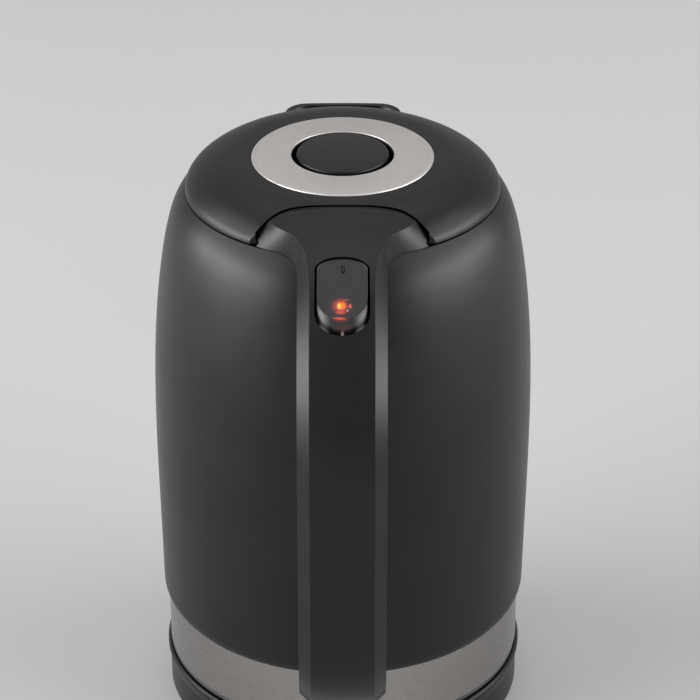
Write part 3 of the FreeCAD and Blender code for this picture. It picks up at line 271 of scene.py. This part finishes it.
def moulded(name, dark, light, rough, gloss=SATIN_GLOSS, edge=SOFT_EDGE):
    """Plastic with a fine grain, and with a colour and a roughness that drift between two values each."""
    material, tree, shader = finish(name, dark, rough[0])
    shader.inputs["Specular IOR Level"].default_value = gloss
    here = place_of(tree)
    cloud = noise(tree, here, CLOUD_SCALE, detail=3.0)
    fine = noise(tree, here, GRAIN_SCALE)
    mottled = tint(tree, spread(tree, cloud, 0.0, 1.0), dark, light)
    tree.links.new(mottled, shader.inputs["Base Color"])
    tree.links.new(spread(tree, cloud, *rough), shader.inputs["Roughness"])
    grain(tree, shader, fine, GRAIN_DEPTH, strength=0.6, edge=edge)
    return material


BLACKS = (0.003, 0.003, 0.0032), (0.0045, 0.0045, 0.0048)
satin_black = moulded("satin_black", *BLACKS, rough=(0.35, 0.41))
smooth_black = moulded("smooth_black", *BLACKS, rough=(0.29, 0.34))
inner_grey = moulded("inner_grey", (0.045, 0.045, 0.047), (0.06, 0.06, 0.062), rough=(0.45, 0.55))
pale_moulding = moulded("pale_moulding", (0.62, 0.6, 0.55), (0.7, 0.68, 0.63), rough=(0.5, 0.6))
print("plastics made")

# %% [markdown]
# ### Brushed steel
#
# The lid's ring was turned under an abrasive pad, so its scratches run round the middle. The band round the
# foot was brushed along its length, which also runs round the axis. On the ring the scratches differ with
# the radius, on the band with the height. Both are long thin lines: the angle round the axis is scaled down
# before the noise reads it, so the noise hardly changes along a scratch.

# %% Brushed steel
ANGLE_SCALE = 0.0012
SCRATCH_DEPTH = 0.004 * MM
SCRATCH_SHADE = 0.9
SCRATCH_SMOOTHER, SCRATCH_ROUGHER = 0.05, 0.06


def brushed(name, colour, scratches, roughness, anisotropic):
    """Steel with scratches round the axis. The angle is scaled down, so that each scratch is long."""
    material, tree, shader = finish(name, colour, roughness, metallic=1.0)
    shader.inputs["Anisotropic"].default_value = anisotropic
    turn = tree.nodes.new("ShaderNodeTangent")
    turn.direction_type = "RADIAL"
    turn.axis = "Z"
    tree.links.new(turn.outputs["Tangent"], shader.inputs["Tangent"])
    split = tree.nodes.new("ShaderNodeSeparateXYZ")
    tree.links.new(place_of(tree), split.inputs[0])
    angle = tree.nodes.new("ShaderNodeMath")
    angle.operation = "ARCTAN2"
    tree.links.new(split.outputs["Y"], angle.inputs[0])
    tree.links.new(split.outputs["X"], angle.inputs[1])
    flat = tree.nodes.new("ShaderNodeVectorMath")
    flat.operation = "MULTIPLY"
    flat.inputs[1].default_value = (1.0, 1.0, 0.0)
    tree.links.new(place_of(tree), flat.inputs[0])
    radius = tree.nodes.new("ShaderNodeVectorMath")
    radius.operation = "LENGTH"
    tree.links.new(flat.outputs["Vector"], radius.inputs[0])
    line = tree.nodes.new("ShaderNodeCombineXYZ")
    tree.links.new(radius.outputs["Value"], line.inputs["X"])
    tree.links.new(split.outputs["Z"], line.inputs["Z"])
    along = tree.nodes.new("ShaderNodeMath")
    along.operation = "MULTIPLY"
    along.inputs[1].default_value = ANGLE_SCALE
    tree.links.new(angle.outputs[0], along.inputs[0])
    tree.links.new(along.outputs[0], line.inputs["Y"])
    scratch = noise(tree, line.outputs[0], scratches, detail=3.0)
    dark = tuple(SCRATCH_SHADE * channel for channel in colour)
    streaked = tint(tree, spread(tree, scratch, 0.0, 1.0), dark, colour)
    tree.links.new(streaked, shader.inputs["Base Color"])
    uneven = spread(tree, scratch, roughness - SCRATCH_SMOOTHER, roughness + SCRATCH_ROUGHER)
    tree.links.new(uneven, shader.inputs["Roughness"])
    grain(tree, shader, scratch, SCRATCH_DEPTH, strength=0.5)
    return material


ring_steel = brushed("ring_steel", (0.71, 0.68, 0.67),
                     scratches=5200.0, roughness=0.4, anisotropic=0.25)
band_steel = brushed("band_steel", (0.36, 0.345, 0.335),
                     scratches=4200.0, roughness=0.28, anisotropic=0.6)
print("steels made")


# %% [markdown]
# ### Small metals, rubber and leads
#
# Screws, springs, contacts and the heater are seen only when the lid is open or the kettle is turned over.
# They still differ: zinc is mottled, drawn wire is smooth, brass contacts are warm and rubber is dull.

# %% Small metals, rubber and leads
MOTTLE_DEPTH = 0.006 * MM
MOTTLE_SMOOTHER, MOTTLE_ROUGHER = 0.06, 0.08
METAL_EDGE = 0.2 * MM


def plain_metal(name, dark, light, roughness, speck):
    """Metal whose colour and roughness are mottled by specks of a given scale."""
    material, tree, shader = finish(name, light, roughness, metallic=1.0)
    mottle = noise(tree, place_of(tree), speck, detail=4.0)
    mottled = tint(tree, spread(tree, mottle, 0.0, 1.0), dark, light)
    tree.links.new(mottled, shader.inputs["Base Color"])
    uneven = spread(tree, mottle, roughness - MOTTLE_SMOOTHER, roughness + MOTTLE_ROUGHER)
    tree.links.new(uneven, shader.inputs["Roughness"])
    grain(tree, shader, mottle, MOTTLE_DEPTH, strength=0.4, edge=METAL_EDGE)
    return material


zinc = plain_metal("zinc", (0.50, 0.51, 0.52), (0.68, 0.69, 0.70), roughness=0.30, speck=900.0)
drawn_wire = plain_metal("drawn_wire", (0.42, 0.42, 0.43), (0.56, 0.56, 0.57),
                         roughness=0.22, speck=1400.0)
contact_brass = plain_metal("contact_brass", (0.58, 0.43, 0.20), (0.72, 0.56, 0.30),
                            roughness=0.26, speck=800.0)
rolled_alloy = plain_metal("rolled_alloy", (0.60, 0.60, 0.61), (0.74, 0.74, 0.75),
                           roughness=0.38, speck=500.0)
seal_grey = moulded("seal_grey", (0.30, 0.30, 0.30), (0.36, 0.36, 0.36), rough=(0.6, 0.7))
foot_rubber = moulded("foot_rubber", (0.012, 0.012, 0.012), (0.02, 0.02, 0.02), rough=(0.7, 0.8))
lead_sleeve = moulded("lead_sleeve", (0.18, 0.06, 0.03), (0.24, 0.09, 0.05), rough=(0.45, 0.55))
print("small finishes made")

# %% Give the CAD pieces their finishes
FINISH_OF_SLOT = {
    "black_plastic": satin_black, "button_plastic": smooth_black, "grey_plastic": inner_grey,
    "pale_plastic": pale_moulding, "steel": band_steel, "alloy": rolled_alloy,
    "contact_metal": contact_brass, "zinc_screw": zinc, "spring_steel": drawn_wire, "mesh": drawn_wire,
    "seal": seal_grey, "soft_foot": foot_rubber, "wire": lead_sleeve,
}
dressed = [piece for piece in frame["record"]["subparts"] if piece["material_slot"] in FINISH_OF_SLOT]
for piece in dressed:
    nodes[piece["node"]].data.materials[0] = FINISH_OF_SLOT[piece["material_slot"]]
nodes["lid_ring"].data.materials[0] = ring_steel
print("finishes given to", len(dressed), "pieces")

# %% [markdown]
# ## Floor finish
#
# A plain pale floor with a very slight drift in tone, so that it does not look like paper. It is fully
# matt: any gloss would mirror the side panels as glare when the kettle is seen from low down.

# %% Floor finish
FLOOR_DARK, FLOOR_LIGHT = (0.545, 0.54, 0.535), (0.575, 0.57, 0.565)
floor_pale, tree, shader = finish("floor_pale", FLOOR_DARK, roughness=0.9)
shader.inputs["Specular IOR Level"].default_value = 0.0
drift = noise(tree, place_of(tree), scale=1.5)
tree.links.new(tint(tree, spread(tree, drift, 0.0, 1.0), FLOOR_DARK, FLOOR_LIGHT),
               shader.inputs["Base Color"])
floor.data.materials.append(floor_pale)
print("floor finished")

# %% [markdown]
# ## The rocker
#
# The switch is a smoked rocker that swings in a close well, so both its ends are turned about the pivot.
# That is how it is made here: half an ellipse is spun about the pivot's axis for each end, the two walls
# are cut off flat for the face and for the skirt, and the face and the sides are filled in between. The
# wall at the near end then leans in towards the face, so a thumb finds a slope there and not an edge.

# %% Rocker sizes, in its own flat frame
pivot = Vector(joints["switch_rock"]["pos_m"])
ROCKER_LEAN = math.radians(23.0)
ROCKER_HALF = 9.4 * MM
ROCKER_REACH = 16.6 * MM
FAR_ROUND = 4.6 * MM
NEAR_ROUND = 9.5 * MM
NEAR_LEAN = 0.26
LEAN_FROM = -2.0 * MM
ROCKER_FACE = 6.0 * MM
ROCKER_SKIRT = -3.0 * MM
ROCKER_WALL = 1.5 * MM
FACE_EDGE = 0.35 * MM
FACE_EDGE_DROP = 0.2 * MM
rocker_place = Matrix.Translation(pivot) @ Matrix.Rotation(ROCKER_LEAN, 4, "X")
print("rocker pivot at", [round(value, 4) for value in pivot])


# %% Helpers for new pieces
def new_piece(name, bm, body, slot, *materials):
    """Turns a bmesh into an object that rides on a body."""
    bmesh.ops.recalc_face_normals(bm, faces=bm.faces)
    data = bpy.data.meshes.new(name)
    bm.to_mesh(data)
    bm.free()
    piece = bpy.data.objects.new(name, data)
    bpy.context.scene.collection.objects.link(piece)
    for material in materials:
        data.materials.append(material)
    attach(piece, body)
    print(name, len(data.polygons), "faces")
    return piece


def smooth_shading(piece, degrees):
    """Smooth faces, with a crisp edge wherever two of them meet at more than an angle."""
    piece.data.shade_smooth()
    piece.data.set_sharp_from_angle(angle=math.radians(degrees))


def near(value, target):
    """Whether two lengths are the same to a thousandth of a millimetre."""
    return abs(value - target) < 0.001 * MM


# %% Rocker ends
SWING_LOW = math.radians(34.0)
SWING_ALL = math.radians(98.0)
SWING_STEPS = 26
RIM_SEGMENTS = 56


def turned_end(bm, way, rounding):
    """One round end: half an ellipse, tipped down and spun up about the pivot's axis."""
    rim = bmesh.ops.create_circle(bm, segments=RIM_SEGMENTS, radius=1.0)["verts"]
    straight = ROCKER_REACH - rounding
    bmesh.ops.scale(bm, vec=(ROCKER_HALF, rounding, 1.0), verts=rim)
    bmesh.ops.delete(bm, geom=[v for v in rim if way * v.co.y < -1e-9], context="VERTS")
    rim = [v for v in rim if v.is_valid]
    bmesh.ops.translate(bm, vec=(0, way * straight, 0), verts=rim)
    bmesh.ops.rotate(bm, matrix=Matrix.Rotation(-way * SWING_LOW, 3, "X"), verts=rim)
    edges = list(dict.fromkeys(e for v in rim for e in v.link_edges))
    bmesh.ops.spin(bm, geom=rim + edges, axis=(1, 0, 0), angle=way * SWING_ALL, steps=SWING_STEPS)


bm = bmesh.new()
turned_end(bm, 1, FAR_ROUND)
turned_end(bm, -1, NEAR_ROUND)
for height, side in ((ROCKER_FACE, 1), (ROCKER_SKIRT, -1)):
    bmesh.ops.bisect_plane(bm, geom=bm.verts[:] + bm.edges[:] + bm.faces[:], dist=1e-7,
                           plane_co=(0, 0, height), plane_no=(0, 0, side), clear_outer=True)
lean_in = Matrix.Identity(4)
lean_in[1][2] = NEAR_LEAN
near_wall = [v for v in bm.verts if v.co.y < 0 and v.co.z > LEAN_FROM]
bmesh.ops.transform(bm, matrix=lean_in, verts=near_wall,
                    space=Matrix.Translation((0, 0, -LEAN_FROM)))
print("rocker ends", len(bm.faces), "faces")

# %% Rocker face and sides
for height in (ROCKER_FACE, ROCKER_SKIRT):
    for side in (ROCKER_HALF, -ROCKER_HALF):
        corners = [v for v in bm.verts if near(v.co.z, height) and near(v.co.x, side)]
        bm.edges.new(corners)
for side in (ROCKER_HALF, -ROCKER_HALF):
    border = [e for e in bm.edges if all(near(v.co.x, side) for v in e.verts)]
    bmesh.ops.contextual_create(bm, geom=border)
for face in bm.faces:
    face.material_index = 1
rim = [e for e in bm.edges if all(near(v.co.z, ROCKER_FACE) for v in e.verts)]
face = bmesh.ops.contextual_create(bm, geom=rim)["faces"][0]
face.material_index = 0
outline = list(face.verts)
bmesh.ops.inset_region(bm, faces=[face], thickness=FACE_EDGE, use_even_offset=True)
bmesh.ops.translate(bm, vec=(0, 0, -FACE_EDGE_DROP), verts=outline)
bmesh.ops.transform(bm, matrix=rocker_place, verts=bm.verts)
print("rocker", len(bm.faces), "faces, outline", len(outline), "points")

# %% [markdown]
# The lamp shines through the lower end of the face. Its glow is broken up by the facets of the lens, so it
# is painted as a few soft spots in the rocker's own flat frame: a yellow core, an orange disc, a red halo
# and some stray facets. A Mapping node turned like the rocker gives that frame.

# %% Soft spots of light
SPOT_CORE = 0.25


def rocker_frame(tree):
    """Coordinates in the rocker's flat frame, in metres."""
    node = tree.nodes.new("ShaderNodeMapping")
    node.vector_type = "TEXTURE"
    node.inputs["Location"].default_value = pivot
    node.inputs["Rotation"].default_value = (ROCKER_LEAN, 0.0, 0.0)
    tree.links.new(place_of(tree), node.inputs["Vector"])
    return node.outputs["Vector"]


def soft_spot(tree, frame_of, middle, half, colour):
    """A colour that fades from a full core to the edge of an ellipsoid, with sizes in millimetres."""
    node = tree.nodes.new("ShaderNodeMapping")
    node.vector_type = "TEXTURE"
    node.inputs["Location"].default_value = [value * MM for value in middle]
    node.inputs["Scale"].default_value = [value * MM for value in half]
    tree.links.new(frame_of, node.inputs["Vector"])
    far = tree.nodes.new("ShaderNodeVectorMath")
    far.operation = "LENGTH"
    tree.links.new(node.outputs["Vector"], far.inputs[0])
    fade = tree.nodes.new("ShaderNodeMapRange")
    fade.interpolation_type = "SMOOTHSTEP"
    fade.inputs["From Min"].default_value = 1.0
    fade.inputs["From Max"].default_value = SPOT_CORE
    tree.links.new(far.outputs["Value"], fade.inputs["Value"])
    return tint(tree, fade.outputs["Result"], (0.0, 0.0, 0.0), colour)


def added_up(tree, spots):
    """One colour from several soft spots."""
    frame_of = rocker_frame(tree)
    total = None
    for middle, half, colour in spots:
        spot = soft_spot(tree, frame_of, middle, half, colour)
        if total is not None:
            add = tree.nodes.new("ShaderNodeVectorMath")
            add.operation = "ADD"
            tree.links.new(total, add.inputs[0])
            tree.links.new(spot, add.inputs[1])
            spot = add.outputs["Vector"]
        total = spot
    return total


def glow(tree, shader, spots):
    """Gives soft spots to the shader as its own light."""
    tree.links.new(added_up(tree, spots), shader.inputs["Emission Color"])
    shader.inputs["Emission Strength"].default_value = 1.0


# Each spot is its middle and its half sizes in millimetres, and its colour.
FACE_MM = ROCKER_FACE / MM
LENS_SPOTS = (
    ((-0.6, -7.2, FACE_MM), (5.2, 6.2, 3.0), (0.10, 0.006, 0.004)),
    ((-0.9, -6.8, FACE_MM), (3.5, 4.0, 3.0), (0.40, 0.035, 0.008)),
    ((0.0, -6.7, FACE_MM), (2.1, 2.7, 3.0), (0.62, 0.16, 0.01)),
    ((-1.2, -6.8, FACE_MM), (1.0, 2.0, 3.0), (0.40, 0.48, 0.05)),
    ((2.9, -7.0, FACE_MM), (0.9, 1.5, 3.0), (0.62, 0.09, 0.05)),
    ((1.9, -9.0, FACE_MM), (0.7, 0.7, 3.0), (0.42, 0.30, 0.20)),
    ((1.4, -4.0, FACE_MM), (1.8, 0.5, 3.0), (0.14, 0.08, 0.05)),
    ((-0.6, -9.9, FACE_MM), (2.5, 1.3, 3.0), (0.42, 0.05, 0.015)),
    ((-1.4, -12.9, FACE_MM), (4.2, 1.1, 1.2), (0.60, 0.10, 0.03)),
)
# The skirt's colour: a dark tint over all, and painted highlights at its two near corners.
SKIRT_TINT_AND_PAINTED_HIGHLIGHTS = (
    ((-7.6, -9.0, 2.0), (5.4, 7.0, 6.0), (0.17, 0.17, 0.175)),
    ((7.6, -9.0, 2.0), (5.4, 7.0, 6.0), (0.17, 0.17, 0.175)),
    ((0.0, 0.0, 0.0), (40.0, 80.0, 40.0), (0.012, 0.012, 0.0125)),
)
# Painted light on the skirt, given as its own light: the lamp's glow near the top edge, a painted highlight low in
# the middle and painted light at the two corners.
SKIRT_PAINTED_LIGHT = (
    ((-0.9, -13.6, FACE_MM - 0.2), (4.4, 1.8, 1.1), (0.16, 0.010, 0.004)),
    ((0.2, -15.2, 3.4), (5.0, 2.4, 2.6), (0.030, 0.004, 0.002)),
    ((0.1, -16.2, 0.6), (0.8, 1.5, 2.2), (0.22, 0.20, 0.19)),
    ((-6.6, -13.0, -1.0), (3.8, 3.6, 3.0), (0.10, 0.10, 0.105)),
    ((6.6, -13.0, -1.0), (3.8, 3.6, 3.0), (0.10, 0.10, 0.105)),
)

# %% [markdown]
# The face is smoked plastic with a faint film on it. The skirt below is clearer, with fine lines where the
# plastic flowed into the mould. Its two near corners are painted paler in its colour, as painted highlights
# where they would catch the light. Emission adds more painted light: the lamp's glow near the top edge, a
# painted highlight low in the middle and painted light at the corners. So far the rocker is a thin skin: a
# Solidify modifier gives it the wall of a moulding.

# %% Rocker finishes
CREASE_DEGREES = 25.0
SMOKE_DARK, SMOKE_LIGHT = (0.011, 0.011, 0.0135), (0.015, 0.015, 0.018)
FILM_DEPTH = 0.003 * MM
FLOW_STRETCH = (1.0, 0.08, 0.08)
smoked_face, tree, shader = finish("smoked_face", SMOKE_DARK, roughness=0.3)
film = noise(tree, place_of(tree), scale=2200.0)
tree.links.new(tint(tree, spread(tree, film, 0.0, 1.0), SMOKE_DARK, SMOKE_LIGHT),
               shader.inputs["Base Color"])
tree.links.new(spread(tree, film, 0.27, 0.33), shader.inputs["Roughness"])
grain(tree, shader, film, FILM_DEPTH, strength=0.3)
shader.inputs["Specular IOR Level"].default_value = 0.4
glow(tree, shader, LENS_SPOTS)

clear_skirt, tree, shader = finish("clear_skirt", (0.05, 0.05, 0.052), roughness=0.14)
shader.inputs["Specular IOR Level"].default_value = 0.5
flow = tree.nodes.new("ShaderNodeMapping")
flow.inputs["Scale"].default_value = FLOW_STRETCH
tree.links.new(place_of(tree), flow.inputs["Vector"])
lines = noise(tree, flow.outputs["Vector"], scale=700.0)
tree.links.new(added_up(tree, SKIRT_TINT_AND_PAINTED_HIGHLIGHTS), shader.inputs["Base Color"])
tree.links.new(spread(tree, lines, 0.16, 0.22), shader.inputs["Roughness"])
grain(tree, shader, lines, FILM_DEPTH, strength=0.3)
glow(tree, shader, SKIRT_PAINTED_LIGHT)
rocker = new_piece("rocker", bm, "switch", "smoked_clear", smoked_face, clear_skirt)
smooth_shading(rocker, CREASE_DEGREES)
wall = rocker.modifiers.new("wall", "SOLIDIFY")
wall.thickness = ROCKER_WALL
wall.offset = -1.0
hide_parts("switch_paddle")

# %% [markdown]
# The mark for ON is a plain upright bar at the end that is pressed in. It is printed on the face, so it is
# a thin inlay: an inset splits it into a dark outline and a grey middle.

# %% Rocker mark
MARK_HALF = Vector((0.58, 1.6)) * MM
MARK_PROUD_MM = 0.04
MARK_MIDDLE = Vector((0.25, 10.6, FACE_MM + MARK_PROUD_MM)) * MM
MARK_OUTLINE = 0.4 * MM
MARK_GLOSS = 0.02
bm = bmesh.new()
bmesh.ops.create_grid(bm, x_segments=1, y_segments=1, size=1.0)
bmesh.ops.scale(bm, vec=(MARK_HALF.x, MARK_HALF.y, 1.0), verts=bm.verts)
bmesh.ops.inset_individual(bm, faces=bm.faces[:], thickness=MARK_OUTLINE)
grey_bar = min(bm.faces, key=lambda f: f.calc_center_median().length)
grey_bar.material_index = 1
bmesh.ops.translate(bm, vec=MARK_MIDDLE, verts=bm.verts)
bmesh.ops.transform(bm, matrix=rocker_place, verts=bm.verts)
mark_black = moulded("mark_black", (0.001, 0.001, 0.001), (0.002, 0.002, 0.002), rough=(0.7, 0.8),
                     gloss=MARK_GLOSS, edge=0.0)
mark_grey = moulded("mark_grey", (0.018, 0.018, 0.02), (0.024, 0.024, 0.026), rough=(0.5, 0.6), edge=0.0)
new_piece("rocker_mark", bm, "switch", "smoked_clear", mark_black, mark_grey)

# %% [markdown]
# The lamp itself sits below the rocker, and is a small amber lens.

# %% Lamp
AMBER_DARK, AMBER_LIGHT = (0.8, 0.22, 0.02), (1.0, 0.5, 0.08)
amber, tree, shader = finish("amber", AMBER_LIGHT, roughness=0.2)
shader.inputs["Transmission Weight"].default_value = 0.5
facets = noise(tree, place_of(tree), scale=700.0)
tree.links.new(tint(tree, spread(tree, facets, 0.0, 1.0), AMBER_DARK, AMBER_LIGHT),
               shader.inputs["Base Color"])
shader.inputs["Emission Color"].default_value = (1.0, 0.35, 0.04, 1.0)
shader.inputs["Emission Strength"].default_value = 1.5
nodes["indicator_lamp"].data.materials[0] = amber
print("lamp lit")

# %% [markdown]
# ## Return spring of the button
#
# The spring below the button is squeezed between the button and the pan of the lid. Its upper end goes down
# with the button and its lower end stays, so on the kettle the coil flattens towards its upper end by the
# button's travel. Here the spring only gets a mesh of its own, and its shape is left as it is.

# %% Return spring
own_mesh(nodes["button_spring"])

# %% [markdown]
# ## Wire cloth of the filter
#
# The filter behind the spout is a fine wire cloth in a plastic frame. A plain grid gives its pitch, every
# other crossing is pushed forward, which is what weaving does, and the Wireframe modifier gives each thread
# its thickness.

# %% Wire cloth
CLOTH_PITCH = 0.9 * MM
CLOTH_MARGIN = 0.4 * MM
WEAVE_DEPTH = 0.12 * MM
THREAD = 0.3 * MM
cloth_low, cloth_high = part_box("spout_filter_mesh")
cloth_size = cloth_high - cloth_low
across = round(cloth_size.x / CLOTH_PITCH)
upright = round(cloth_size.z / CLOTH_PITCH)
bm = bmesh.new()
bmesh.ops.create_grid(bm, x_segments=across, y_segments=upright, size=0.5,
                      matrix=Matrix.Rotation(math.radians(90.0), 4, "X"))
cloth_width = cloth_size.x - CLOTH_MARGIN
cloth_height = cloth_size.z - CLOTH_MARGIN
bmesh.ops.scale(bm, vec=(cloth_width, 1.0, cloth_height), verts=bm.verts)
bmesh.ops.translate(bm, vec=(cloth_low + cloth_high) / 2, verts=bm.verts)
print("wire cloth", across, "by", upright, "cells")

# %% Weave
step_x = cloth_width / across
step_z = cloth_height / upright
front = [v for v in bm.verts if (round((v.co.x - cloth_low.x) / step_x)
                                 + round((v.co.z - cloth_low.z) / step_z)) % 2]
bmesh.ops.translate(bm, vec=(0, WEAVE_DEPTH, 0), verts=front)
cloth = new_piece("filter_cloth", bm, "jug", "mesh", drawn_wire)
threads = cloth.modifiers.new("threads", "WIREFRAME")
threads.thickness = THREAD
threads.use_even_offset = False
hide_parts("spout_filter_mesh")
